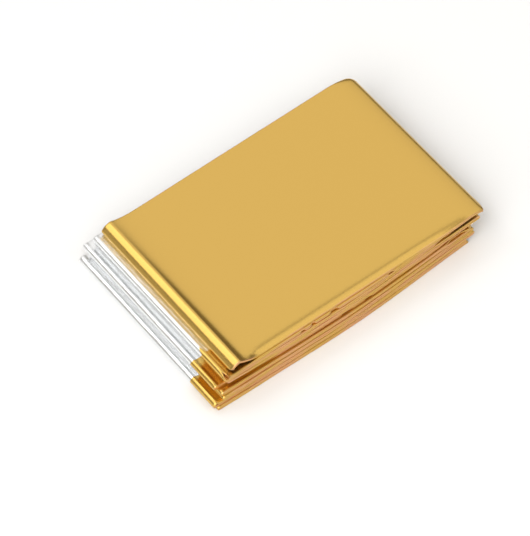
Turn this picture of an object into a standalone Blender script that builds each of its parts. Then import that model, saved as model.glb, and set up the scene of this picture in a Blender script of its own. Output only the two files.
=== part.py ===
"""An emergency foil blanket, folded to the flat packet in which it is carried.

It is one sheet of thin metallised film. The sheet is first pleated across its width to a narrow
strip, and the strip is then folded back and forth along its length. One layer here is one
thickness of the pleated strip: film and the air that is pressed in between.

X runs along the packet, with the loose folds at its -X end. Y runs across it, with the near side
at -Y. Z is up. The origin is on the surface that the packet lies on, below the middle of its box.
"""

import math
from collections import namedtuple

import bmesh
import bpy

MM = 0.001

# The sheet as it is cut, and how often it is folded each way.
CUT_LENGTH = 2100 * MM
CUT_WIDTH = 1600 * MM
PANELS = 16
PLEATS = 17
PLEAT_FLAP = 17 * MM
PANEL_LENGTH = CUT_LENGTH / PANELS
STRIP_WIDTH = (CUT_WIDTH - PLEAT_FLAP) / PLEATS

# One layer of the pleated strip, and the rise from one layer to the next.
LAYER = 1.0 * MM
LAYER_GAP = 0.2 * MM
PITCH = LAYER + LAYER_GAP
PLAIN_ROLL = PITCH / 2

# The loose folds at the -X end, from the top of the packet to its underside. Each one joins two
# neighbouring layers. The columns are in millimetres:
#   reach: how far the fold sticks out past the fold at the top
#   skew: how much further it sticks out at the near side than at the far side
#   roll: radius in the middle of the layer; a plain fold is as tight as its two layers let it be
#   near, far: how far the layers stand out past the top panel at the near and the far side
#   near_end, far_end: the same at the +X end, where the next fold is
#   bulge: how much more the near side stands out halfway along
LooseFold = namedtuple("LooseFold", "reach skew roll near far near_end far_end bulge")
LOOSE_FOLDS = (
    LooseFold(0.0, 0.3, 1.5, 0.0, 0.0, 0.0, 0.0, 0.0),
    LooseFold(5.6, 1.0, 0.0, 0.8, 0.5, -2.4, 0.6, 0.6),
    LooseFold(4.4, 0.8, 0.0, 0.2, 1.6, -1.8, 1.6, 0.9),
    LooseFold(9.6, 1.6, 0.0, -1.8, 3.2, -0.5, 2.2, 1.6),
    LooseFold(8.3, 1.0, 0.0, 0.9, 2.4, -1.3, 2.9, 0.4),
    LooseFold(8.0, 1.4, 0.0, 1.5, 1.4, -0.4, 1.7, 0.6),
    LooseFold(12.3, 1.7, 1.0, 0.8, 3.1, -1.2, 2.4, 1.2),
    LooseFold(11.0, 1.2, 0.0, 1.4, 1.9, -1.7, 1.9, 1.1),
)

# The layers under the top three end short of their full length, in the slack of their folds.
SETBACK = 1.5 * MM

# A fold with a roll wider than a plain one stands proud, and slopes back to its layer.
ROLL_SLOPE = 2.2

# The far end of the top three layers hangs over the layers below, so it bows down.
BOW_START = 124.6 * MM
BOW_DEPTH = 1.9 * MM

# The far corner of the top panel is rounded off.
CORNER_RADIUS = 5 * MM

# How far along a layer its near side starts to turn towards its place at the +X end.
TURN_START = 0.4

# The layers thin out at their two long edges, where the pleats turn round.
EDGE_ROUNDING = 0.45 * MM
EDGE_THICKNESS = 0.55

# How finely the sheet is divided.
ARC_STEPS = 5
ROLL_STEPS = 8
SLOPE_STEPS = 4
PANEL_STATIONS = (0.2, 0.4, 0.55, 0.7, 0.85)
BOW_STATIONS = (0.0, 0.3, 0.55, 0.8)
ACROSS_STATIONS = (0.2, 0.4, 0.6, 0.8)
CORNER_STATIONS = (0.0, 0.35, 0.65)

# Gold vapour coating under clear film.
GOLD_COLOUR = (0.70, 0.45, 0.11, 1.0)
GOLD_ROUGHNESS = 0.25

# A station of the section: its place, the way the sheet runs there, and where it lies between
# the creases, which are numbered along the sheet.
Station = namedtuple("Station", "x z heading crease")


def clear_scene():
    for old in list(bpy.data.objects):
        bpy.data.objects.remove(old, do_unlink=True)


def ease(t):
    """0 to 1, slow at both ends."""
    t = min(max(t, 0.0), 1.0)
    return t * t * (3 - 2 * t)


def mix(start, end, t):
    return start + (end - start) * t


def loose_fold_of(crease):
    """The loose fold that a crease is, or that the sheet passed last before it."""
    return LOOSE_FOLDS[min(max(0, (crease - 1) // 2), len(LOOSE_FOLDS) - 1)]


def at_loose_end(crease):
    """Odd creases lie at -X, even ones at +X."""
    return crease % 2 == 1


def row_of(panel):
    """The layer that a panel lies in, from 0 on top. The first panel is tucked under the second."""
    return {0: 1, 1: 0}.get(panel, panel)


def height_of(row):
    return (PANELS - 1 - row) * PITCH + LAYER / 2


def arc(x, z, radius, start, end, steps, crease):
    """Stations round a bend. Its middle lies to the right of the heading, which turns clockwise."""
    stations = []
    for step in range(steps + 1):
        heading = mix(start, end, step / steps)
        across = -math.sin(heading) * radius
        up = math.cos(heading) * radius
        stations.append(Station(x + across, z + up, heading, crease))
    return stations


def loose_fold(crease, low_z):
    """The fold at -X, from its lower layer up and round to its upper one."""
    fold = loose_fold_of(crease)
    roll = fold.roll * MM or PLAIN_ROLL
    steps = ROLL_STEPS if fold.roll else ARC_STEPS
    tip = -fold.reach * MM
    stations = arc(tip + roll, low_z + roll, roll, math.pi, 0.0, steps, crease)
    drop = 2 * roll - PITCH
    slope = ROLL_SLOPE * drop
    for step in range(1, SLOPE_STEPS + 1) if fold.roll else ():
        t = step / SLOPE_STEPS
        heading = -math.atan(6 * t * (1 - t) * drop / slope)
        z = low_z + PITCH + drop * (1 - ease(t))
        stations.append(Station(tip + roll + slope * t, z, heading, crease))
    return stations


def far_end_of(crease):
    """How far along X the crease or free end after a loose fold comes."""
    setback = SETBACK if crease > 2 else 0.0
    return PANEL_LENGTH - loose_fold_of(crease).reach * MM - setback


def crease_stations(crease):
    """The stations of one crease or free end, in the order in which the sheet runs."""
    before = height_of(row_of(crease - 1)) if crease else None
    after = height_of(row_of(crease)) if crease < PANELS else None
    end = far_end_of(crease)
    if crease == 0:
        return [Station(end - PITCH - 2 * LAYER_GAP, after, math.pi, crease)]
    if crease == PANELS:
        return [Station(end, before, 0.0, crease)]
    if not at_loose_end(crease):
        radius = (before - after) / 2
        middle = (before + after) / 2
        steps = ARC_STEPS + (radius > PLAIN_ROLL) * 3
        return arc(end - radius, middle, radius, 0.0, -math.pi, steps, crease)
    stations = loose_fold(crease, min(before, after))
    if before < after:
        return stations
    return [s._replace(heading=s.heading + math.pi) for s in reversed(stations)]


def panel_stations(panel, start, end):
    """The stations along a flat layer, between the last of one crease and the first of the next."""
    places = [mix(-loose_fold_of(panel).reach * MM, PANEL_LENGTH, t) for t in PANEL_STATIONS]
    if row_of(panel) < 3:
        places += [mix(BOW_START, PANEL_LENGTH, t) for t in BOW_STATIONS]
    low, high = sorted((start.x, end.x))
    places = sorted(x for x in places if low + PITCH < x < high - LAYER)
    if start.x > end.x:
        places.reverse()
    stations = []
    for x in places:
        crease = mix(start.crease, end.crease, (x - start.x) / (end.x - start.x))
        stations.append(Station(x, start.z, math.pi if start.x > end.x else 0.0, crease))
    return stations


def section():
    """The whole back-and-forth section, from one free end of the sheet to the other."""
    stations = crease_stations(0)
    for panel in range(PANELS):
        following = crease_stations(panel + 1)
        stations += panel_stations(panel, stations[-1], following[0])
        stations += following
    return stations


def side_reach(crease, column):
    """How far one crease stands out at its near or far side."""
    suffix = "" if at_loose_end(crease) else "_end"
    return getattr(loose_fold_of(crease), column + suffix) * MM


def along_layer(station):
    """How far from its loose fold a station lies: 0 at the fold and 1 at the layer's other end."""
    first = math.floor(station.crease)
    t = station.crease - first
    return t if at_loose_end(first) else 1 - t


def between_creases(station, value):
    """A value that each crease has, turned smoothly from one crease to the next."""
    first = math.floor(station.crease)
    if station.crease == first:
        return value(first)
    at_loose, at_far = (first, first + 1) if at_loose_end(first) else (first + 1, first)
    turned = ease((along_layer(station) - TURN_START) / (1 - TURN_START))
    return mix(value(at_loose), value(at_far), turned)


def bulge_of(station):
    """How much more the near side stands out halfway along a layer."""
    first = math.floor(station.crease)
    bulge = mix(loose_fold_of(first).bulge, loose_fold_of(first + 1).bulge, station.crease - first)
    return bulge * MM * math.sin(math.pi * along_layer(station))


def skew_of(crease):
    """A layer keeps its length, so both its ends are skewed alike, but for the squared-up top."""
    return loose_fold_of(crease).skew * MM if crease % 2 or crease > 2 else 0.0


def corner_inset(from_far_side):
    """How much shorter the top panel is near its rounded far corner."""
    into = CORNER_RADIUS - from_far_side
    if into <= 0:
        return 0.0
    return CORNER_RADIUS - math.sqrt(max(CORNER_RADIUS**2 - into**2, 0.0))


def bow(station, x):
    """How far the overhanging end of the top three layers sinks."""
    if station.crease > 3:
        return 0.0
    t = max(0.0, (x - BOW_START) / (PANEL_LENGTH - BOW_START))
    return BOW_DEPTH * t * t


def places_across():
    """Places across the strip, as (share of the width, metres more, share of the thickness)."""
    places = [(0.0, 0.0, EDGE_THICKNESS), (0.0, EDGE_ROUNDING, 1.0)]
    places += [(share, 0.0, 1.0) for share in ACROSS_STATIONS]
    places += [(1.0, -mix(CORNER_RADIUS, 0.0, t), 1.0) for t in CORNER_STATIONS]
    places += [(1.0, -EDGE_ROUNDING, 1.0), (1.0, 0.0, EDGE_THICKNESS)]
    return places


def point(station, place, side):
    """A point of the sheet: side is 1 on its one face and -1 on its other."""
    share, more, thickness = place
    near = -STRIP_WIDTH / 2 - between_creases(station, lambda c: side_reach(c, "near"))
    near -= bulge_of(station)
    far = STRIP_WIDTH / 2 + between_creases(station, lambda c: side_reach(c, "far"))
    y = mix(near, far, share) + more
    across = (y - near) / (far - near)
    skewed = between_creases(station, skew_of) * (across - 0.5)
    half = side * LAYER / 2 * thickness
    x = station.x - math.sin(station.heading) * half + skewed
    z = station.z + math.cos(station.heading) * half
    if station.crease <= 3:
        x -= corner_inset(far - y) * ease(x / PANEL_LENGTH)
    return (x, y, z - bow(station, x))


def folded_mesh(name):
    """The closed sheet: both faces, the rims along its long edges and its two free ends."""
    stations = section()
    places = places_across()
    bm = bmesh.new()
    faces = {}
    for side in (1, -1):
        faces[side] = [[bm.verts.new(point(s, p, side)) for p in places] for s in stations]
    for grid in faces.values():
        for row, following in zip(grid, grid[1:]):
            for k in range(len(places) - 1):
                bm.faces.new((row[k], row[k + 1], following[k + 1], following[k]))
    for edge in (0, -1):
        for i in range(len(stations) - 1):
            upper, lower = faces[1], faces[-1]
            bm.faces.new((upper[i][edge], upper[i + 1][edge], lower[i + 1][edge], lower[i][edge]))
    for end in (0, -1):
        for k in range(len(places) - 1):
            upper, lower = faces[1][end], faces[-1][end]
            bm.faces.new((upper[k], upper[k + 1], lower[k + 1], lower[k]))
    bmesh.ops.recalc_face_normals(bm, faces=bm.faces)
    centre_on_origin(bm)
    mesh = bpy.data.meshes.new(name)
    bm.to_mesh(mesh)
    bm.free()
    return mesh


def centre_on_origin(bm):
    """Sets the box's middle over the origin and its underside on the surface."""
    lows = [min(v.co[axis] for v in bm.verts) for axis in range(3)]
    highs = [max(v.co[axis] for v in bm.verts) for axis in range(3)]
    shift = (-(lows[0] + highs[0]) / 2, -(lows[1] + highs[1]) / 2, -lows[2])
    bmesh.ops.translate(bm, verts=bm.verts, vec=shift)
    print("shift in millimetres:", [round(s / MM, 3) for s in shift])
    print("box in millimetres:", [round((h - l) / MM, 2) for l, h in zip(lows, highs)])


def film_material():
    material = bpy.data.materials.new("gold_film")
    material.use_nodes = True
    shader = material.node_tree.nodes["Principled BSDF"]
    shader.inputs["Base Color"].default_value = GOLD_COLOUR
    shader.inputs["Metallic"].default_value = 1.0
    shader.inputs["Roughness"].default_value = GOLD_ROUGHNESS
    return material


def build():
    clear_scene()
    mesh = folded_mesh("folded_blanket")
    mesh.materials.append(film_material())
    blanket = bpy.data.objects.new("folded_blanket", mesh)
    bpy.context.scene.collection.objects.link(blanket)
    mesh.shade_smooth()
    mesh.set_sharp_from_angle(angle=math.radians(40))
    return blanket


build()
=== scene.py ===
# %% [markdown]
# # A folded rescue blanket
# A rescue blanket is one sheet of very thin polyester film. A metal coating makes one face gold
# and the other silver. The factory pleats the sheet across its width to a narrow strip, folds the
# strip back and forth along its length, and presses the packet flat. This lesson builds that
# folded sheet, film by film, over the plain solid that the frame holds.

import math
from collections import namedtuple

import bpy
from mathutils import Matrix, Vector


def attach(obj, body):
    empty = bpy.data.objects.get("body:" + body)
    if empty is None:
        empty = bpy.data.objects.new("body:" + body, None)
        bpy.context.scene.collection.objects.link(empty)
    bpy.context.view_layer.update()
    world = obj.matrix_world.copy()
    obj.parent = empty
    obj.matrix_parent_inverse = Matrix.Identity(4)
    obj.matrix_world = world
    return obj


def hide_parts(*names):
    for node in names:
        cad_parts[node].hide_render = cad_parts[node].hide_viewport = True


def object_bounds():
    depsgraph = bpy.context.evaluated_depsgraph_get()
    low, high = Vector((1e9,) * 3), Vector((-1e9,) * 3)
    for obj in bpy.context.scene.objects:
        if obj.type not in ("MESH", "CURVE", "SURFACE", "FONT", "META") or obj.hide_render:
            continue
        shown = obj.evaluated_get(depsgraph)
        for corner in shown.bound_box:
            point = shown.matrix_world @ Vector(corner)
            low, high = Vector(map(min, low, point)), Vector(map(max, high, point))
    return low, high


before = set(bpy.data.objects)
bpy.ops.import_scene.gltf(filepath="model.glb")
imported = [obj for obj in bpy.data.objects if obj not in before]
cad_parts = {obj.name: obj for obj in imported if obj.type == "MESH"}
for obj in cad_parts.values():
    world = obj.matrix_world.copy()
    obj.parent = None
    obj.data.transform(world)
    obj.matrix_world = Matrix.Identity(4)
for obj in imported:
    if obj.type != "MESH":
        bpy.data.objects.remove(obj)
cad_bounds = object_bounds()
MM = 0.001
print("box of the solid:", cad_bounds)

# %% [markdown]
# ## The cut of the sheet
# The sheet is 2.1 m long and 1.6 m wide. Seventeen pleats of 93 mm take up its width, and what is
# left over is a narrow flap that shows its gold face beside the silver one. Sixteen panels of
# 131 mm take up its length. All later sizes follow from these, so they come first.

# %% Sizes of the sheet and its folds
CUT_LENGTH = 2100 * MM
CUT_WIDTH = 1600 * MM
PANELS = 16
PLEATS = 17
PLEAT_FLAP = 17 * MM
PANEL_LENGTH = CUT_LENGTH / PANELS
STRIP_WIDTH = (CUT_WIDTH - PLEAT_FLAP) / PLEATS
LAYER = 1.0 * MM
LAYER_GAP = 0.2 * MM
PITCH = LAYER + LAYER_GAP
print("panel length in mm:", round(PANEL_LENGTH / MM, 2))
print("strip width in mm:", round(STRIP_WIDTH / MM, 2))

# %% [markdown]
# ## The loose folds
# The folds at one end of the packet don't lie flush. Each sticks out by its own amount and lies a
# little askew. One row of a table holds the sizes of one fold, so that a fold can be moved by
# changing one number. The columns are in millimetres: how far a fold reaches out, how much more
# it does so at the near side, how far its two layers stand out at the near and the far side here
# and at their other end, and how much the near side bulges halfway along. A second table gives
# the crest of each fold: how high its tip is above the lower layer, how high the crest stands
# above the upper one, how far behind the tip it comes, and how far the film takes to sink back
# again at the near and at the far side.

# %% The tables of loose folds and their crests
LooseFold = namedtuple("LooseFold", "reach skew near far near_end far_end bulge")
LOOSE_FOLDS = (
    LooseFold(0.0, 1.4, 0.0, 0.0, 0.0, 0.0, 0.0),
    LooseFold(5.6, 1.0, 0.8, 0.5, -2.4, 0.6, 0.6),
    LooseFold(4.4, 0.8, 0.2, 1.6, -1.8, 1.6, 0.9),
    LooseFold(9.6, 1.6, -1.8, 3.2, -0.5, 2.2, 1.6),
    LooseFold(8.3, 1.0, 0.9, 2.4, -1.3, 2.9, 0.4),
    LooseFold(8.0, 1.4, 1.5, 1.4, -0.4, 1.7, 0.6),
    LooseFold(12.3, 1.7, 0.8, 3.1, -1.2, 2.4, 1.2),
    LooseFold(11.0, 1.2, 1.4, 1.9, -1.7, 1.9, 1.1),
)
Crest = namedtuple("Crest", "tip_height lift width near_fall far_fall")
FLAT_CREST = Crest(0.6, 0.0, 0.6, 1.0, 1.0)
CRESTS = (
    Crest(0.5, 2.3, 2.8, 6.0, 12.0),
    Crest(0.7, 0.45, 1.1, 1.6, 2.4),
    FLAT_CREST,
    Crest(0.7, 0.45, 1.1, 1.6, 2.0),
    FLAT_CREST,
    FLAT_CREST,
    Crest(0.8, 0.8, 1.6, 2.2, 2.4),
    FLAT_CREST,
)
LOW_BEND = 0.6 * MM
# The bead of the top fold, as shares of its width and height from the tip up to the crest: a
# steep face, and then a gentle one.
BEAD = (
    (-0.45, 0.05), (-0.535, 0.117), (-0.535, 0.2), (-0.41, 0.333), (-0.25, 0.483),
    (-0.09, 0.627), (0.055, 0.727), (0.18, 0.787), (0.36, 0.86), (0.57, 0.933),
    (0.77, 0.98), (0.89, 0.997), (1.0, 1.0),
)
# The far ends of the lower layers: how far they end short, and how far they lie askew. The top
# layers bow down there instead, and their far corner is rounded.
SETBACK = 0.4 * MM
FAR_SKEW = -5.0 * MM
BOW_START = 121.5 * MM
BOW_DEPTH = 1.8 * MM
CORNER_RADIUS = 3.4 * MM
# How far along a layer its sides start to turn towards their places at the +X end.
TURN_START = 0.4
# Short openings at the near side: the row, the place along it, half the length and the depth.
Notch = namedtuple("Notch", "row place half_length depth")
NOTCHES = (
    Notch(2, 34.5, 1.5, 1.1),
    Notch(2, 40.0, 1.3, 1.5),
    Notch(2, 51.0, 2.6, 1.6),
    Notch(2, 81.0, 1.7, 1.2),
    Notch(2, 106.0, 2.2, 1.3),
    Notch(7, 57.0, 3.4, 0.9),
    Notch(7, 68.0, 2.2, 0.8),
    Notch(7, 115.0, 8.0, 2.4),
    Notch(8, 114.0, 6.0, 1.6),
)
print("loose folds:", len(LOOSE_FOLDS))

# %% [markdown]
# ## The section of the packet
# Cut along its length, the packet is one line that runs back and forth. A station is one point of
# that line: its place, the way the line runs there, and where it lies between the creases. The
# line is worked out in plain Python, since every fold has its own sizes.

# %% Numbers and helpers for the line
Station = namedtuple("Station", "x z heading crease")
FOLD_STEPS = 5
CREST_STEPS = 12
WRAP_STEPS = 10
NEAR_FOLD = (0.3, 0.7, 1.1, 1.55, 2.1, 2.8, 3.7, 5.0, 7.0, 10.0, 13.5)
UNDER_FOLD = (0.6, 3.5, 9.0)
ALONG_STEP = 11.0
BOW_STATIONS = (0.0, 0.25, 0.5, 0.72, 0.9)


def ease(t):
    t = min(max(t, 0.0), 1.0)
    return t * t * (3 - 2 * t)


def mix(start, end, t):
    return start + (end - start) * t


def fold_number(crease):
    """The row of the tables for a crease, or for the loose fold that the sheet passed before it."""
    return min(max(0, (crease - 1) // 2), len(LOOSE_FOLDS) - 1)


def loose_fold_of(crease):
    return LOOSE_FOLDS[fold_number(crease)]


def crest_of(crease):
    return CRESTS[fold_number(crease)]


def at_loose_end(crease):
    return crease % 2 == 1


def row_of(panel):
    return {0: 1, 1: 0}.get(panel, panel)


def height_of(row):
    return (PANELS - 1 - row) * PITCH + LAYER / 2


print("helpers ready, first row at height in mm:", round(height_of(0) / MM, 2))

# %% [markdown]
# ## The creases of the line
# A loose fold runs round under its tip and up to its crest. A fold at the other end is half a
# circle. A crease that the sheet passes from above takes the same stations the other way round.

# %% Stations in the folds


def rise(crest, above):
    """From the tip up to the crest, as steps inwards and up: the bead, or part of an ellipse."""
    width = crest.width * MM
    if crest.lift > 1:
        return [(width * inwards, above * up) for inwards, up in BEAD]
    steps = CREST_STEPS // 2 if crest.lift else FOLD_STEPS // 2
    turns = [math.pi / 2 * (step + 1) / steps for step in range(steps)]
    return [(width * (1 - math.cos(t)), above * math.sin(t)) for t in turns]


def loose_fold(crease, low_z):
    """From the lower layer round below the tip, and up to the crest."""
    crest = crest_of(crease)
    below = crest.tip_height * MM
    tip = -loose_fold_of(crease).reach * MM
    turns = [math.pi / 2 * step / 3 for step in range(4)]
    line = [(LOW_BEND * (1 - math.sin(t)), below * (1 - math.cos(t))) for t in turns]
    line += [(x, below + z) for x, z in rise(crest, PITCH + crest.lift * MM - below)]
    stations = []
    for k, (x, z) in enumerate(line):
        (x0, z0), (x1, z1) = line[max(k - 1, 0)], line[min(k + 1, len(line) - 1)]
        heading = {0: math.pi, len(line) - 1: 0.0}.get(k, math.atan2(z1 - z0, x1 - x0))
        stations.append(Station(tip + x, low_z + z, heading, crease))
    return stations


def far_end_of(crease):
    setback = SETBACK if crease > 2 else 0.0
    return PANEL_LENGTH - loose_fold_of(crease).reach * MM - setback


def far_fold(crease, before, after):
    """Half a circle at the +X end, from its upper layer down to its lower one."""
    radius = (before - after) / 2
    steps = FOLD_STEPS if radius < PITCH * 0.9 else WRAP_STEPS
    end = far_end_of(crease)
    stations = []
    for step in range(steps + 1):
        heading = -math.pi * step / steps
        x = end - radius - math.sin(heading) * radius
        z = (before + after) / 2 + math.cos(heading) * radius
        stations.append(Station(x, z, heading, crease))
    return stations


def crease_stations(crease):
    before = height_of(row_of(crease - 1)) if crease else None
    after = height_of(row_of(crease)) if crease < PANELS else None
    if crease == 0:
        return [Station(far_end_of(0) - PITCH - 2 * LAYER_GAP, after, math.pi, crease)]
    if crease == PANELS:
        return [Station(far_end_of(crease), before, 0.0, crease)]
    if not at_loose_end(crease):
        return far_fold(crease, before, after)
    stations = loose_fold(crease, min(before, after))
    if before < after:
        return stations
    return [s._replace(heading=s.heading + math.pi) for s in reversed(stations)]


print("stations in the top fold:", len(crease_stations(1)))

# %% [markdown]
# ## The panels between the creases
# A panel needs close stations behind its loose fold and in a notch, and few along the rest.

# %% Stations along the panels, and the whole line


def panel_stations(panel, start, end):
    low, high = sorted((start.x, end.x))
    steps = UNDER_FOLD if row_of(panel) % 2 else NEAR_FOLD
    places = [low + step * MM for step in steps]
    count = round((high - places[-1]) / (ALONG_STEP * MM))
    places += [mix(places[-1], high, (k + 1) / count) for k in range(count - 1)]
    places.append(high - 0.8 * MM)
    for notch in NOTCHES:
        if notch.row == row_of(panel):
            middle, half = notch.place * MM, notch.half_length * MM
            places = [x for x in places if abs(x - middle) > half + 1 * MM]
            places += [middle + half * t for t in (-1, -0.45, 0.45, 1)]
    if row_of(panel) < 3:
        places = [x for x in places if x < BOW_START - 2 * MM]
        places += [mix(BOW_START, high, t) for t in BOW_STATIONS]
    places.sort(reverse=start.x > end.x)
    height = height_of(row_of(panel))
    stations = []
    for x in places:
        crease = mix(start.crease, end.crease, (x - start.x) / (end.x - start.x))
        stations.append(Station(x, height, math.pi if start.x > end.x else 0.0, crease))
    return stations


def section():
    stations = crease_stations(0)
    for panel in range(PANELS):
        following = crease_stations(panel + 1)
        stations += panel_stations(panel, stations[-1], following[0])
        stations += following
    return stations


stations = section()
print("stations along the sheet:", len(stations))

# %% [markdown]
# ## What each station knows
# The two long sides of the packet aren't straight. Each station carries how far the strip stands
# out at its near and far side, how far it lies askew, and how slack its row is. These numbers go
# on the points of a thin line of edges, as attributes, so that the node tree can read them.

# %% Sides and skew of every station
# How far each row stands out at the near side, in millimetres. The rows stick together in bands.
NEAR_BANDS = (
    0.0, -1.6, 0.0, 0.1, 0.06, 0.12, 0.1, -0.4,
    0.15, 0.1, 0.15, 0.08, 0.1, 0.05, 0.0, -0.1,
)
TIGHT_ROWS = 2
# The opening under the bead's near end: its row, its depth in millimetres, and where it closes.
GAPE_ROW = 1
GAPE_DEPTH = 7.5
GAPE_START = 4 * MM
GAPE_RUN = 7 * MM
# The opening at the +X end: its middle row, how many rows it takes to each side, its depth in
# millimetres, and where it opens.
MOUTH_ROW = 2.2
MOUTH_REACH = 2.2
MOUTH_DEPTH = 9.0
MOUTH_START = 108 * MM
MOUTH_RUN = 12 * MM
# The line that the lower rows share, for the highest and the lowest of them, in millimetres: how
# far it stands out, its bulge halfway along, and how far it turns in at the +X end.
LINE_OUT = (0.5, 1.3)
LINE_BULGE = (0.7, 1.1)
LINE_TURN = (2.4, 2.9)
# How firmly those rows are pressed to that line, and over what length behind the loose folds.
PRESSED_SHARE = 0.85
PRESSED_RUN = 24 * MM


def side_reach(crease, column):
    suffix = "" if at_loose_end(crease) else "_end"
    return getattr(loose_fold_of(crease), column + suffix) * MM


def along_layer(station):
    first = math.floor(station.crease)
    t = station.crease - first
    return t if at_loose_end(first) else 1 - t


def between_creases(station, value):
    first = math.floor(station.crease)
    if station.crease == first:
        return value(first)
    at_loose, at_far = (first, first + 1) if at_loose_end(first) else (first + 1, first)
    turned = ease((along_layer(station) - TURN_START) / (1 - TURN_START))
    return mix(value(at_loose), value(at_far), turned)


def bulge_of(station):
    first = math.floor(station.crease)
    bulge = mix(loose_fold_of(first).bulge, loose_fold_of(first + 1).bulge, station.crease - first)
    return bulge * MM * math.sin(math.pi * along_layer(station))


def skew_of(crease):
    if at_loose_end(crease):
        return loose_fold_of(crease).skew * MM
    return FAR_SKEW if crease > 2 else 0.0


def row_at(station):
    """The row that a station lies in, and between two rows inside a fold."""
    return PANELS - 1 - (station.z - LAYER / 2) / PITCH


def band_at(station):
    """How far a station stands out with its band, less the gaps at both ends and the notches."""
    row = min(max(row_at(station), 0.0), PANELS - 1.0)
    low = min(int(row), PANELS - 2)
    band = mix(NEAR_BANDS[low], NEAR_BANDS[low + 1], row - low)
    in_gape = max(0.0, 1 - abs(row - GAPE_ROW))
    gape = GAPE_DEPTH * in_gape * (1 - ease((station.x - GAPE_START) / GAPE_RUN))
    in_mouth = min(max(MOUTH_REACH - abs(row - MOUTH_ROW), 0.0), 1.0)
    mouth = MOUTH_DEPTH * in_mouth * ease((station.x - MOUTH_START) / MOUTH_RUN)
    band -= gape + mouth
    for notch in NOTCHES:
        off = abs(station.x / MM - notch.place) / notch.half_length
        if abs(row - notch.row) < 0.1:
            band -= notch.depth * (1 - ease(off))
    return band * MM


def common_line(station):
    """The near side that the lower rows share where they lie pressed together."""
    low = min(max((row_at(station) - 2) / 13, 0.0), 1.0)
    t = min(max(station.x / PANEL_LENGTH, 0.0), 1.0)
    turned = mix(*LINE_TURN, low) * ease((t - TURN_START) / (1 - TURN_START))
    bulged = mix(*LINE_BULGE, low) * math.sin(math.pi * t)
    return (mix(*LINE_OUT, low) + bulged - turned) * MM


def near_at(station):
    near = between_creases(station, lambda c: side_reach(c, "near")) + bulge_of(station)
    pressed = 0.0
    if row_at(station) > TIGHT_ROWS - 0.5 and station.crease > 2:
        pressed = PRESSED_SHARE * ease(station.x / PRESSED_RUN)
    return mix(near, common_line(station), pressed) + band_at(station)


print("near side of the first station in mm:", round(near_at(stations[0]) / MM, 2))

# %% [markdown]
# ## Crests, cover and slack
# Behind a crest the film sinks back to its layer. The near edge of the top panel turns down over
# the next row. The top rows are tight, and the lower ones have some slack.

# %% Crests, cover and slack of every station
COVER_START = 5 * MM
COVER_RUN = 9 * MM
COVER_END_RUN = 24 * MM
TIGHT_SLACK = 0.25


def lifts_at(station):
    """How high the film stands above its layer behind a crest, at the near and at the far side."""
    panel = math.floor(station.crease)
    if station.crease == panel or not (panel == 1 or panel >= 2 and panel % 2 == 0):
        return (0.0, 0.0)
    crease = 1 if panel == 1 else panel + 1
    crest = crest_of(crease)
    behind = station.x + (loose_fold_of(crease).reach - crest.width) * MM
    falls = (crest.near_fall * MM, crest.far_fall * MM)
    return tuple(crest.lift * MM * (1 - min(max(behind / fall, 0.0), 1.0)) ** 2 for fall in falls)


def slopes_at(station):
    """The turn of the film behind a crest, at the near and at the far side."""
    step = 0.01 * MM
    here = lifts_at(station)
    ahead = lifts_at(station._replace(x=station.x + step))
    return tuple(math.atan((b - a) / step) for a, b in zip(here, ahead))


def cover_at(station):
    """How far the near edge of the top panel turns down over the row under it."""
    if row_at(station) > 0.1 or not 1 < station.crease < 2:
        return 0.0
    started = ease((station.x - COVER_START) / COVER_RUN)
    return started * ease((PANEL_LENGTH - station.x) / COVER_END_RUN)


def slack_at(station):
    """The top rows are pulled tight, and the lowest one lies flat on the floor."""
    row = row_at(station)
    if row > PANELS - 1.5:
        return 0.0
    return TIGHT_SLACK if row < TIGHT_ROWS - 0.5 else 1.0


STATION_VALUES = "heading turn near far skew row slack top cover lift_near lift_far run"


def station_values(stations):
    """The attributes of the section: a list for each of them."""
    values = {name: [] for name in STATION_VALUES.split()}
    run = 0.0
    for k, s in enumerate(stations):
        if k:
            run += math.hypot(s.x - stations[k - 1].x, s.z - stations[k - 1].z)
        lift_near, lift_far = lifts_at(s)
        slope_near, slope_far = slopes_at(s)
        values["near"].append(-STRIP_WIDTH / 2 - near_at(s))
        values["far"].append(STRIP_WIDTH / 2 + between_creases(s, lambda c: side_reach(c, "far")))
        values["skew"].append(between_creases(s, skew_of))
        values["heading"].append(s.heading + slope_near)
        values["turn"].append(slope_far - slope_near)
        values["row"].append(row_at(s))
        values["slack"].append(slack_at(s))
        values["top"].append(1.0 if s.crease <= 3 else 0.0)
        values["cover"].append(cover_at(s))
        values["lift_near"].append(lift_near)
        values["lift_far"].append(lift_far)
        values["run"].append(run)
    return values


def polyline(name, points, attributes):
    """A line of edges whose points carry the given numbers."""
    mesh = bpy.data.meshes.new(name)
    edges = [(k, k + 1) for k in range(len(points) - 1)]
    mesh.from_pydata(points, edges, [])
    for key, numbers in attributes.items():
        mesh.attributes.new(key, "FLOAT", "POINT").data.foreach_set("value", numbers)
    line = bpy.data.objects.new(name, mesh)
    bpy.context.scene.collection.objects.link(line)
    return line


section_values = station_values(stations)
section_line = polyline("section_line", [(s.x, 0.0, s.z) for s in stations], section_values)
print("length along the sheet in mm:", round(section_values["run"][-1] / MM))

# %% [markdown]
# ## The pleats
# Cut across its width, the strip is a second line: seventeen films that turn back at the near and
# the far side, and the narrow flap. The films lie only a few hundredths of a millimetre apart.
# The first film turns over the near side and the last one over the far side, which closes both
# sides with a small round roll. Again each point of the line carries its numbers: the share of
# the width, a distance outwards from the side, the level in the thickness, and whether it lies at
# a side or on an outer film.

# %% The line of the pleats
Pleat = namedtuple("Pleat", "share out level side fold outer roll")
# The levels of the second film and of the last but two: the outer films lie a little apart.
SECOND_LEVEL = 0.38
INNER_LEVEL = -0.30
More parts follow.
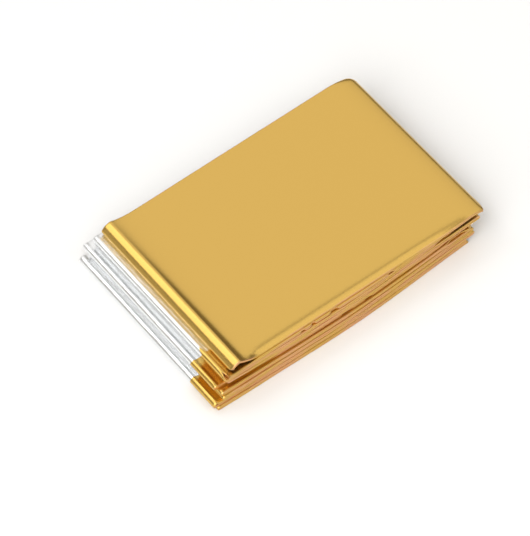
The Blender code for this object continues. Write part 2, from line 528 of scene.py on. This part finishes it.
# The roll that an outer film makes over a side: (out in millimetres, share of the half thickness).
OVER_SIDE = (
    (-0.22, 1.0), (-0.06, 0.93), (0.0, 0.7), (0.01, 0.0),
    (0.0, -0.52), (-0.05, -0.66), (-0.15, -0.7),
)
UNDER_SIDE = ((-0.25, -0.4), (-0.32, 0.3))
INNER_FOLD = 0.75
CORNER_PLACES = (0.12, 0.3, 0.6, 1.0)
TOP_PLACES = (0.12, 0.24, 0.36, 0.5, 0.64, 0.78, 0.9)
UNDER_PLACES = (0.15, 0.5, 0.85)


def film_level(film):
    if film == 0 or film >= PLEATS - 1:
        return {0: 0.5, PLEATS - 1: -0.44, PLEATS: -0.5}[film]
    return mix(SECOND_LEVEL, INNER_LEVEL, (film - 1) / (PLEATS - 3))


def film_points(film):
    """The points along one film, from the side it comes from to the side it goes to."""
    from_far = film % 2 == 0
    outer = {0: 1.0, PLEATS - 1: -1.0, PLEATS: -1.2}.get(film, 0.0)
    level = film_level(film)
    if film == PLEATS:
        places = [(0.0, 0.1 * MM + PLEAT_FLAP * t) for t in (0.03, 0.2, 0.5, 0.75, 0.98)]
        return [Pleat(share, -more, level, 0.0, film, outer, 0.0) for share, more in places]
    corner = CORNER_PLACES if film == 0 else (0.8,)
    points = [Pleat(1.0, -CORNER_RADIUS * t, level, 0.0, film, outer, 0.0) for t in corner]
    if outer:
        shares = reversed(TOP_PLACES if film == 0 else UNDER_PLACES)
        points += [Pleat(share, 0.0, level, 0.0, film, outer, 0.0) for share in shares]
        edge = (4.7, 3.8, 3.0, 2.2, 1.4, 0.7) if film == 0 else (1.4, 0.7)
        points += [Pleat(0.0, -more * MM, level, 0.0, film, outer, 0.0) for more in edge]
    if not from_far:
        points.reverse()
    return points


def inner_fold(film):
    """The small fold from one film to the next, inside the roll of the outer film."""
    share, side = (0.0, -1.0) if film % 2 == 0 else (1.0, 1.0)
    upper, lower = film_level(film), film_level(film + 1)
    middle = (upper + lower) / 2
    inside = -INNER_FOLD * MM * (1.0 if film % 4 < 2 else 1.25)
    if film == PLEATS - 1:
        inside = 0.0
    ends = inside - 0.05 * MM
    places = ((ends, upper), (inside, middle), (ends, lower))
    return [Pleat(share, out, level, side, film, 0.0, 0.0) for out, level in places]


def over_side(film, share, side, flip):
    """The roll that the first or the last film makes over a side of the strip."""
    points = []
    for out, level in OVER_SIDE + UNDER_SIDE:
        height = flip * level * film_level(0)
        points.append(Pleat(share, out * MM, height, side, film + 0.3 * level, 0.0, 1.0))
    inside = film_level(1) if flip > 0 else film_level(film)
    points.append(Pleat(share, -INNER_FOLD * MM, inside, side, film, 0.0, 0.0))
    return points


def pleat_line():
    points = [Pleat(1.0, 0.05 * MM, film_level(0) - 0.12, 1.0, 0, 0.0, 0.0)]
    points.append(Pleat(1.0, -0.15 * MM, film_level(0) - 0.02, 1.0, 0, 0.0, 0.0))
    for film in range(PLEATS + 1):
        points += film_points(film)
        if film == 0:
            points += over_side(0, 0.0, -1.0, 1.0)
        elif film == PLEATS - 2:
            points += list(reversed(over_side(film, 1.0, 1.0, -1.0)))
        elif film < PLEATS:
            points += inner_fold(film)
    return points


pleats = pleat_line()
pleat_values = {key: [float(getattr(p, key)) for p in pleats] for key in Pleat._fields}
pleat_run = [0.0]
for last, point in zip(pleats, pleats[1:]):
    across = (point.share - last.share) * STRIP_WIDTH + point.out - last.out
    upwards = (point.level - last.level) * LAYER
    pleat_run.append(pleat_run[-1] + math.hypot(across, upwards))
pleat_values["run"] = pleat_run
pleat_places = [(0.0, p.share * STRIP_WIDTH + p.out, p.level * LAYER) for p in pleats]
pleats_line = polyline("pleats_line", pleat_places, pleat_values)
print("points across the sheet:", len(pleats), "width in mm:", round(pleat_run[-1] / MM))

# %% [markdown]
# ## Short calls for node trees
# A node tree is long to write out node by node. This small class adds a node, sets its values and
# hands back its first output, so that a sum in the tree reads nearly as it does on paper.

# %% A helper that writes node trees


class Tree:
    """A node tree with short calls for its nodes and sums."""

    def __init__(self, tree):
        self.tree = tree

    def node(self, kind, *values, **settings):
        node = self.tree.nodes.new(kind)
        for key, setting in settings.items():
            setattr(node, key, setting)
        usable = [s for s in node.inputs if s.enabled]
        for socket, value in zip(usable, values):
            if isinstance(value, bpy.types.NodeSocket):
                self.tree.links.new(value, socket)
            elif value is not None:
                socket.default_value = value
        return node

    def out(self, kind, *values, **settings):
        node = self.node(kind, *values, **settings)
        return next(s for s in node.outputs if s.enabled)

    def sum(self, operation, *values):
        return self.out("ShaderNodeMath", *values, operation=operation)

    def whole(self, operation, *values):
        return self.out("FunctionNodeIntegerMath", *values, operation=operation)

    def noise(self, vector, scale, detail=1.0):
        settings = {"noise_dimensions": "3D"}
        return self.out("ShaderNodeTexNoise", vector, scale, detail, **settings)


print("tree helper ready")

# %% [markdown]
# ## Folding the sheet with Geometry Nodes
# The two lines together give the whole sheet: at every station of the section stands one line of
# pleats. The tree makes a grid with one point for each pair, looks up both lines' numbers by
# index, and puts every point in its place. Slow noise lets the sides wander and fast noise gives
# the outer films their wrinkles. The steps and their sizes are inputs of the tree, so the packet
# can be made tighter or looser without touching the nodes.

# %% The tree that folds the sheet
FILM_INPUTS = {
    "Thickness": LAYER,
    "Panel Length": PANEL_LENGTH,
    "Corner Radius": CORNER_RADIUS,
    "Bow Start": BOW_START,
    "Bow Depth": BOW_DEPTH,
    "Side Wander": 0.3 * MM,
    "Fold Wander": 0.12 * MM,
    "Side Swelling": 0.18,
    "Turn Down": 2.1 * MM,
    "Turn Down Width": 4.6 * MM,
    "Turn Down Bend": 2.0,
    "Cover": -0.3,
    "Wrinkle Height": 0.3 * MM,
    "Shift X": cad_bounds[1][0] - (PANEL_LENGTH + LAYER / 2),
    "Shift Y": cad_bounds[1][1] - (STRIP_WIDTH / 2 + max(f.far for f in LOOSE_FOLDS) * MM),
    "Shift Z": 0.12 * MM,
    "Seed": 7.0,
}


def fold_tree():
    group = bpy.data.node_groups.new("fold_the_sheet", "GeometryNodeTree")
    ports = group.interface
    ports.new_socket("Section", in_out="INPUT", socket_type="NodeSocketGeometry")
    ports.new_socket("Pleats", in_out="INPUT", socket_type="NodeSocketObject")
    ports.new_socket("Film", in_out="INPUT", socket_type="NodeSocketMaterial")
    for name, size in FILM_INPUTS.items():
        port = ports.new_socket(name, in_out="INPUT", socket_type="NodeSocketFloat")
        port.default_value = size
    ports.new_socket("Sheet", in_out="OUTPUT", socket_type="NodeSocketGeometry")
    tree = Tree(group)
    given = tree.node("NodeGroupInput").outputs
    pleats_geometry = tree.node("GeometryNodeObjectInfo", given["Pleats"]).outputs["Geometry"]

    # One grid point for each pair of a station and a pleat point.
    count_along = tree.out("GeometryNodeAttributeDomainSize", given["Section"])
    count_across = tree.out("GeometryNodeAttributeDomainSize", pleats_geometry)
    grid = tree.out("GeometryNodeMeshGrid", 1.0, 1.0, count_along, count_across)
    index = tree.out("GeometryNodeInputIndex")
    along = tree.whole("DIVIDE_FLOOR", index, count_across)
    across = tree.whole("MODULO", index, count_across)

    def looked_up(geometry, name, where):
        named = tree.node("GeometryNodeInputNamedAttribute", name, data_type="FLOAT")
        return tree.out("GeometryNodeSampleIndex", geometry, named.outputs[0], where)

    def of_section(name):
        return looked_up(given["Section"], name, along)

    def of_pleats(name):
        return looked_up(pleats_geometry, name, across)

    place = tree.node("GeometryNodeSampleIndex", data_type="FLOAT_VECTOR")
    group.links.new(given["Section"], place.inputs["Geometry"])
    group.links.new(tree.out("GeometryNodeInputPosition"), place.inputs["Value"])
    group.links.new(along, place.inputs["Index"])
    split = tree.node("ShaderNodeSeparateXYZ", place.outputs[0]).outputs
    run, row, slack = of_section("run"), of_section("row"), of_section("slack")
    side, fold, outer = of_pleats("side"), of_pleats("fold"), of_pleats("outer")

    # The sides wander: slowly with the whole row, faster with each fold.
    def wander(scale, second, third):
        where = tree.out("ShaderNodeCombineXYZ", run, second, third)
        vector = tree.out("ShaderNodeVectorMath", where, (scale, 1.0, 1.0), operation="MULTIPLY")
        centred = tree.sum("SUBTRACT", tree.noise(vector, 1.0), 0.5)
        return tree.sum("MULTIPLY", centred, 2.0)

    side_seed = tree.sum("MULTIPLY_ADD", side, 3.7, given["Seed"])
    slow = tree.sum("MULTIPLY", wander(70.0, side_seed, 0.0), given["Side Wander"])
    slow = tree.sum("MULTIPLY", slow, slack)
    fold_seed = tree.sum("MULTIPLY_ADD", fold, 5.3, side_seed)
    fast = tree.sum("MULTIPLY", wander(260.0, fold_seed, 3.0), given["Fold Wander"])
    fast = tree.sum("MULTIPLY", fast, slack)
    sway = tree.sum("MULTIPLY", tree.sum("ADD", slow, fast), side)
    near, far = of_section("near"), of_section("far")
    width = tree.sum("SUBTRACT", far, near)
    share = of_pleats("share")
    outward = tree.sum("MULTIPLY", of_pleats("out"), tree.sum("MULTIPLY_ADD", share, 2.0, -1.0))
    near_side = tree.sum("MAXIMUM", tree.sum("MULTIPLY", side, -1.0), 0.0)
    inner = tree.sum("MULTIPLY", near_side, tree.sum("SUBTRACT", 1.0, of_pleats("roll")))
    cover = of_section("cover")
    room = tree.sum("MULTIPLY", tree.sum("MULTIPLY", inner, cover), given["Turn Down Width"])
    outward = tree.sum("ADD", outward, room)
    y = tree.sum("MULTIPLY_ADD", width, share, near)
    y = tree.sum("ADD", y, tree.sum("ADD", outward, sway))

    # The outer films stand off in wrinkles, most of all beside the loose folds.
    flat_place = tree.out("ShaderNodeCombineXYZ", split["X"], y, row)
    stretched = (420.0, 45.0, 5.0)
    vector = tree.out("ShaderNodeVectorMath", flat_place, stretched, operation="MULTIPLY")
    beside = tree.out("ShaderNodeMapRange", split["X"], -0.004, 0.02, 1.0, 0.0)
    wrinkle = tree.sum("MULTIPLY", tree.noise(vector, 1.0, 2.0), given["Wrinkle Height"])
    wrinkle = tree.sum("MULTIPLY", tree.sum("MULTIPLY", wrinkle, beside), slack)
    stand_off = tree.sum("MULTIPLY", wrinkle, outer)

    # Across the thickness, along the normal of the section. The layers swell at their sides, and
    # the near edge of the top one reaches down over the next.
    roll = of_pleats("roll")
    swelling = tree.sum("MULTIPLY_ADD", roll, given["Side Swelling"], 1.0)
    level = tree.sum("MULTIPLY", of_pleats("level"), given["Thickness"])
    level = tree.sum("MULTIPLY", level, swelling)
    at_near = tree.sum("MULTIPLY", near_side, roll)
    below = tree.sum("MULTIPLY", tree.sum("MINIMUM", level, 0.0), given["Cover"])
    level = tree.sum("MULTIPLY_ADD", below, tree.sum("MULTIPLY", cover, at_near), level)
    off = tree.sum("ADD", level, stand_off)
    acrossed = tree.sum("DIVIDE", tree.sum("SUBTRACT", y, near), width)
    heading = tree.sum("MULTIPLY_ADD", of_section("turn"), acrossed, of_section("heading"))
    skewed = tree.sum("MULTIPLY", of_section("skew"), tree.sum("SUBTRACT", acrossed, 0.5))
    x = tree.sum("SUBTRACT", split["X"], tree.sum("MULTIPLY", tree.sum("SINE", heading), off))
    x = tree.sum("ADD", x, skewed)
    z = tree.sum("MULTIPLY_ADD", tree.sum("COSINE", heading), off, split["Z"])
    lift_near, lift_far = of_section("lift_near"), of_section("lift_far")
    lift = tree.sum("MULTIPLY_ADD", tree.sum("SUBTRACT", lift_far, lift_near), acrossed, lift_near)
    from_near = tree.sum("SUBTRACT", y, near)
    down = tree.node("ShaderNodeMapRange", from_near, 0.0, given["Turn Down Width"], 1.0, 0.0)
    down = tree.sum("POWER", down.outputs[0], given["Turn Down Bend"])
    down = tree.sum("MULTIPLY", down, given["Turn Down"])
    z = tree.sum("ADD", z, tree.sum("SUBTRACT", lift, tree.sum("MULTIPLY", down, cover)))

    # The rounded far corner and the sinking end of the top layers.
    top = of_section("top")
    from_far = tree.sum("SUBTRACT", far, y)
    into = tree.sum("MAXIMUM", tree.sum("SUBTRACT", given["Corner Radius"], from_far), 0.0)
    whole = tree.sum("POWER", given["Corner Radius"], 2.0)
    squares = tree.sum("SUBTRACT", whole, tree.sum("POWER", into, 2.0))
    rest = tree.sum("SQRT", tree.sum("MAXIMUM", squares, 0.0))
    inset = tree.sum("SUBTRACT", given["Corner Radius"], rest)
    smooth = {"interpolation_type": "SMOOTHSTEP"}
    eased = tree.node("ShaderNodeMapRange", x, 0.0, given["Panel Length"], **smooth)
    inset = tree.sum("MULTIPLY", tree.sum("MULTIPLY", inset, eased.outputs[0]), top)
    bow = tree.node("ShaderNodeMapRange", x, given["Bow Start"], given["Panel Length"]).outputs[0]
    bow = tree.sum("MULTIPLY", tree.sum("POWER", bow, 2.0), given["Bow Depth"])
    bow = tree.sum("MULTIPLY", bow, top)
    x = tree.sum("ADD", tree.sum("SUBTRACT", x, inset), given["Shift X"])
    y = tree.sum("ADD", y, given["Shift Y"])
    z = tree.sum("ADD", tree.sum("SUBTRACT", z, bow), given["Shift Z"])
    placed = tree.out("ShaderNodeCombineXYZ", x, y, z)
    folded = tree.out("GeometryNodeSetPosition", grid, None, placed)

    # What the film's finish reads later: its place in the flat sheet, its row and its side.
    def stored(geometry, name, value, kind):
        settings = {"data_type": kind, "domain": "POINT"}
        return tree.out("GeometryNodeStoreNamedAttribute", geometry, None, name, value, **settings)

    in_sheet = tree.out("ShaderNodeCombineXYZ", run, of_pleats("run"), row)
    folded = stored(folded, "in_sheet", in_sheet, "FLOAT_VECTOR")
    folded = stored(folded, "at_side", tree.sum("ABSOLUTE", side), "FLOAT")
    folded = stored(folded, "beside_folds", beside, "FLOAT")
    folded = tree.out("GeometryNodeFlipFaces", folded)
    folded = tree.out("GeometryNodeSetShadeSmooth", folded)
    folded = tree.out("GeometryNodeRealizeInstances", folded)
    folded = tree.out("GeometryNodeSetMaterial", folded, None, given["Film"])
    tree.node("NodeGroupOutput", folded)
    return group


folding = fold_tree()
print("nodes in the tree:", len(folding.nodes))

# %% [markdown]
# ## The metal coating
# Both faces are a vapour coating of metal under clear film: nearly a mirror, but softened by tiny
# waves in the film. A metallic Principled BSDF with the colour of its reflection does most of it.
# Both faces share one group for those waves, which puts out a height for the Bump node, a small
# change of roughness, and a mask of streaks along the sides of the strip. In those streaks the gold
# face gets a painted reflection: a warmer, peach tint for the light that the fine folds throw back
# between them.

# %% The gold and the silver face
GOLD = (0.70, 0.45, 0.115, 1.0)
# A painted reflection: the warmer light that the fine folds at the sides throw between them.
PAINTED_SIDE_REFLECTION = (0.74, 0.42, 0.19, 1.0)
SILVER = (0.90, 0.91, 0.92, 1.0)


def waves_group():
    group = bpy.data.node_groups.new("waves_in_the_film", "ShaderNodeTree")
    ports = group.interface
    for name, size in (("Streak Scale", 70.0), ("Crease Scale", 500.0), ("Crease Height", 0.3)):
        port = ports.new_socket(name, in_out="INPUT", socket_type="NodeSocketFloat")
        port.default_value = size
    for name in ("Height", "Roughness", "Streaks"):
        ports.new_socket(name, in_out="OUTPUT", socket_type="NodeSocketFloat")
    tree = Tree(group)
    given = tree.node("NodeGroupInput").outputs
    place = tree.node("ShaderNodeTexCoord").outputs["Object"]
    stretched = tree.out("ShaderNodeVectorMath", place, (1.0, 0.16, 1.0), operation="MULTIPLY")
    creases = tree.noise(stretched, given["Crease Scale"], 3.0)
    beside = tree.node("ShaderNodeAttribute", attribute_name="beside_folds").outputs["Fac"]
    creases = tree.sum("MULTIPLY", tree.sum("MULTIPLY", creases, given["Crease Height"]), beside)
    at_side = tree.node("ShaderNodeAttribute", attribute_name="at_side").outputs["Fac"]
    rough = tree.node("ShaderNodeMapRange", at_side, 0.0, 1.0, 0.27, 0.42)
    lengthwise = tree.out("ShaderNodeVectorMath", place, (1.0, 1.0, 7.0), operation="MULTIPLY")
    # Streaks along the sides, where the gold gets its painted reflection tint.
    streaks = tree.noise(lengthwise, given["Streak Scale"], 3.0)
    streaks = tree.node("ShaderNodeMapRange", streaks, 0.42, 0.58, 0.0, 1.0).outputs[0]
    streaks = tree.sum("MULTIPLY", streaks, at_side)
    tree.node("NodeGroupOutput", creases, rough.outputs[0], streaks)
    return group


waves = waves_group()


def film_face(name, colour, painted_reflection_colour, crease_height):
    material = bpy.data.materials.new(name)
    material.use_nodes = True
    shader = material.node_tree.nodes["Principled BSDF"]
    shader.inputs["Metallic"].default_value = 1.0
    tree = Tree(material.node_tree)
    surface = tree.node("ShaderNodeGroup", node_tree=waves)
    surface.inputs["Crease Height"].default_value = crease_height
    bump = tree.node("ShaderNodeBump")
    bump.inputs["Strength"].default_value = 0.5
    bump.inputs["Distance"].default_value = 0.2 * MM
    links = material.node_tree.links
    streaks = surface.outputs["Streaks"]
    # In the streaks at the sides, the base colour is mixed towards a painted reflection colour.
    tint = tree.out("ShaderNodeMix", streaks, colour, painted_reflection_colour, data_type="RGBA")
    links.new(tint, shader.inputs["Base Color"])
    links.new(surface.outputs["Height"], bump.inputs["Height"])
    links.new(surface.outputs["Roughness"], shader.inputs["Roughness"])
    links.new(bump.outputs["Normal"], shader.inputs["Normal"])
    return material


gold_face = film_face("gold_face", GOLD, PAINTED_SIDE_REFLECTION, 0.15)
silver_face = film_face("silver_face", SILVER, SILVER, 1.3)
print("finishes:", gold_face.name, silver_face.name)

# %% [markdown]
# ## The finished sheet
# The tree runs as a modifier on the section line. Its result becomes a plain mesh, and a Solidify
# modifier then gives the film a thickness: the face that points outwards stays gold, and the one
# it adds behind is silver.

# %% Fold the sheet and give it its two faces
FILM_THICKNESS = 0.02 * MM


def set_input(modifier, name, value):
    for item in modifier.node_group.interface.items_tree:
        if item.item_type == "SOCKET" and item.in_out == "INPUT" and item.name == name:
            modifier[item.identifier] = value


def finished_mesh(source):
    graph = bpy.context.evaluated_depsgraph_get()
    return bpy.data.meshes.new_from_object(source.evaluated_get(graph), depsgraph=graph)


modifier = section_line.modifiers.new("fold", "NODES")
modifier.node_group = folding
set_input(modifier, "Pleats", pleats_line)
set_input(modifier, "Film", gold_face)
for name, size in FILM_INPUTS.items():
    set_input(modifier, name, size)
film_mesh = finished_mesh(section_line)
section_line.modifiers.clear()
film_mesh.materials.clear()
film_mesh.materials.append(gold_face)
film_mesh.materials.append(silver_face)
film = bpy.data.objects.new("film", film_mesh)
bpy.context.scene.collection.objects.link(film)
thicken = film.modifiers.new("thickness", "SOLIDIFY")
thicken.thickness = FILM_THICKNESS
thicken.offset = -1.0
thicken.material_offset = 1
thicken.material_offset_rim = 0
blanket_mesh = finished_mesh(film)
blanket_mesh.name = "foil_blanket"
blanket_mesh.set_sharp_from_angle(angle=math.radians(55))
blanket = bpy.data.objects.new("foil_blanket", blanket_mesh)
bpy.context.scene.collection.objects.link(blanket)
for helper in (film, section_line, pleats_line):
    bpy.data.objects.remove(helper, do_unlink=True)
triangles = sum(len(p.vertices) - 2 for p in blanket_mesh.polygons)
print("triangles:", triangles)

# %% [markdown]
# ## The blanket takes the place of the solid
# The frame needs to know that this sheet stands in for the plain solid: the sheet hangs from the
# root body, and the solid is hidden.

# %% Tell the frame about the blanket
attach(blanket, "root")
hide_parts("folded_blanket")

# %% [markdown]
# ## Floor and light
# Metal shows what is around it. A pale floor and a large soft box behind the packet give the top
# its even gold. Smaller boxes give the folds their highlights, and a bright one fills the floor
# and the silver. The room itself is dimmer, so that the round folds also find something dark to
# show, as they do in a studio.

# %% Floor, lights and room
FLOOR_SIZE = 6.0
LIGHT_DISTANCE = 2.5


def pale_floor():
    half = FLOOR_SIZE / 2
    mesh = bpy.data.meshes.new("floor")
    corners = [(-half, -half, 0.0), (half, -half, 0.0), (half, half, 0.0), (-half, half, 0.0)]
    mesh.from_pydata(corners, [], [(0, 1, 2, 3)])
    material = bpy.data.materials.new("floor_paper")
    material.use_nodes = True
    shader = material.node_tree.nodes["Principled BSDF"]
    shader.inputs["Base Color"].default_value = (0.9, 0.9, 0.9, 1.0)
    shader.inputs["Roughness"].default_value = 0.9
    shader.inputs["Specular IOR Level"].default_value = 0.1
    mesh.materials.append(material)
    floor = bpy.data.objects.new("floor", mesh)
    bpy.context.scene.collection.objects.link(floor)
    return floor


def direction(azimuth, elevation):
    """From the packet towards a camera or light at these angles in degrees."""
    turned, raised = math.radians(azimuth), math.radians(elevation)
    level = math.cos(raised)
    return Vector((math.sin(turned) * level, -math.cos(turned) * level, math.sin(raised)))


def soft_light(name, azimuth, elevation, size, brightness):
    """A square soft box. Its brightness is that of its face, where 1 is white."""
    light = bpy.data.lights.new(name, "AREA")
    light.shape = "SQUARE"
    light.size = size
    light.energy = math.pi * size**2 * brightness
    lamp = bpy.data.objects.new(name, light)
    lamp.location = direction(azimuth, elevation) * LIGHT_DISTANCE
    lamp.rotation_euler = direction(azimuth, elevation).to_track_quat("Z", "Y").to_euler()
    bpy.context.scene.collection.objects.link(lamp)
    return lamp


SoftBox = namedtuple("SoftBox", "name azimuth elevation size brightness")
SOFT_BOXES = (
    SoftBox("back_box", 143, 50, 2.5, 0.85),
    SoftBox("left_box", 214, 54, 1.5, 1.8),
    SoftBox("low_left_box", 240, 14, 1.2, 0.4),
    SoftBox("over_box", 69, 69, 1.0, 0.5),
    SoftBox("fill_box", -60, 45, 2.6, 3.0),
    SoftBox("front_box", 28, 41, 2.2, 1.0),
)
floor = pale_floor()
for box in SOFT_BOXES:
    soft_light(*box)
world = bpy.data.worlds.new("room")
world.use_nodes = True
world.node_tree.nodes["Background"].inputs["Color"].default_value = (1.0, 0.9, 0.72, 1.0)
world.node_tree.nodes["Background"].inputs["Strength"].default_value = 0.18
bpy.context.scene.world = world
bpy.context.scene.view_settings.view_transform = "Standard"
print("floor and lights set")

# %% [markdown]
# ## Camera
# The camera looks down at the packet from its near left, slightly tilted, at the angle of the
# product photograph. It stands far away with a long lens, so parallel edges stay nearly parallel.

# %% The camera
IMAGE_WIDTH = 530
IMAGE_HEIGHT = 536
AZIMUTH = -33.18
ELEVATION = 53.02
ROLL = math.radians(5.07)
DISTANCE = 3.0
PIXELS_PER_METRE = 2372.0
TARGET = Vector((58.63 * MM + FILM_INPUTS["Shift X"], -0.85 * MM + FILM_INPUTS["Shift Y"], 10 * MM))
TARGET_PIXEL = (283.5, 240.6)

outwards = direction(AZIMUTH, ELEVATION)
level_right = Vector((0.0, 0.0, 1.0)).cross(outwards).normalized()
level_up = outwards.cross(level_right)
right = math.cos(ROLL) * level_right - math.sin(ROLL) * level_up
up = math.sin(ROLL) * level_right + math.cos(ROLL) * level_up
lens = bpy.data.cameras.new("camera")
lens.sensor_fit = "VERTICAL"
lens.sensor_height = 24.0
lens.lens = PIXELS_PER_METRE * DISTANCE / IMAGE_HEIGHT * lens.sensor_height
lens.shift_x = (IMAGE_WIDTH / 2 - TARGET_PIXEL[0]) / IMAGE_HEIGHT
lens.shift_y = (TARGET_PIXEL[1] - IMAGE_HEIGHT / 2) / IMAGE_HEIGHT
lens.clip_end = 50.0
camera = bpy.data.objects.new("camera", lens)
axes = Matrix((right, up, outwards)).transposed()
camera.matrix_world = Matrix.Translation(TARGET + outwards * DISTANCE) @ axes.to_4x4()
bpy.context.scene.collection.objects.link(camera)
bpy.context.scene.camera = camera
print("lens in mm:", round(lens.lens, 1))
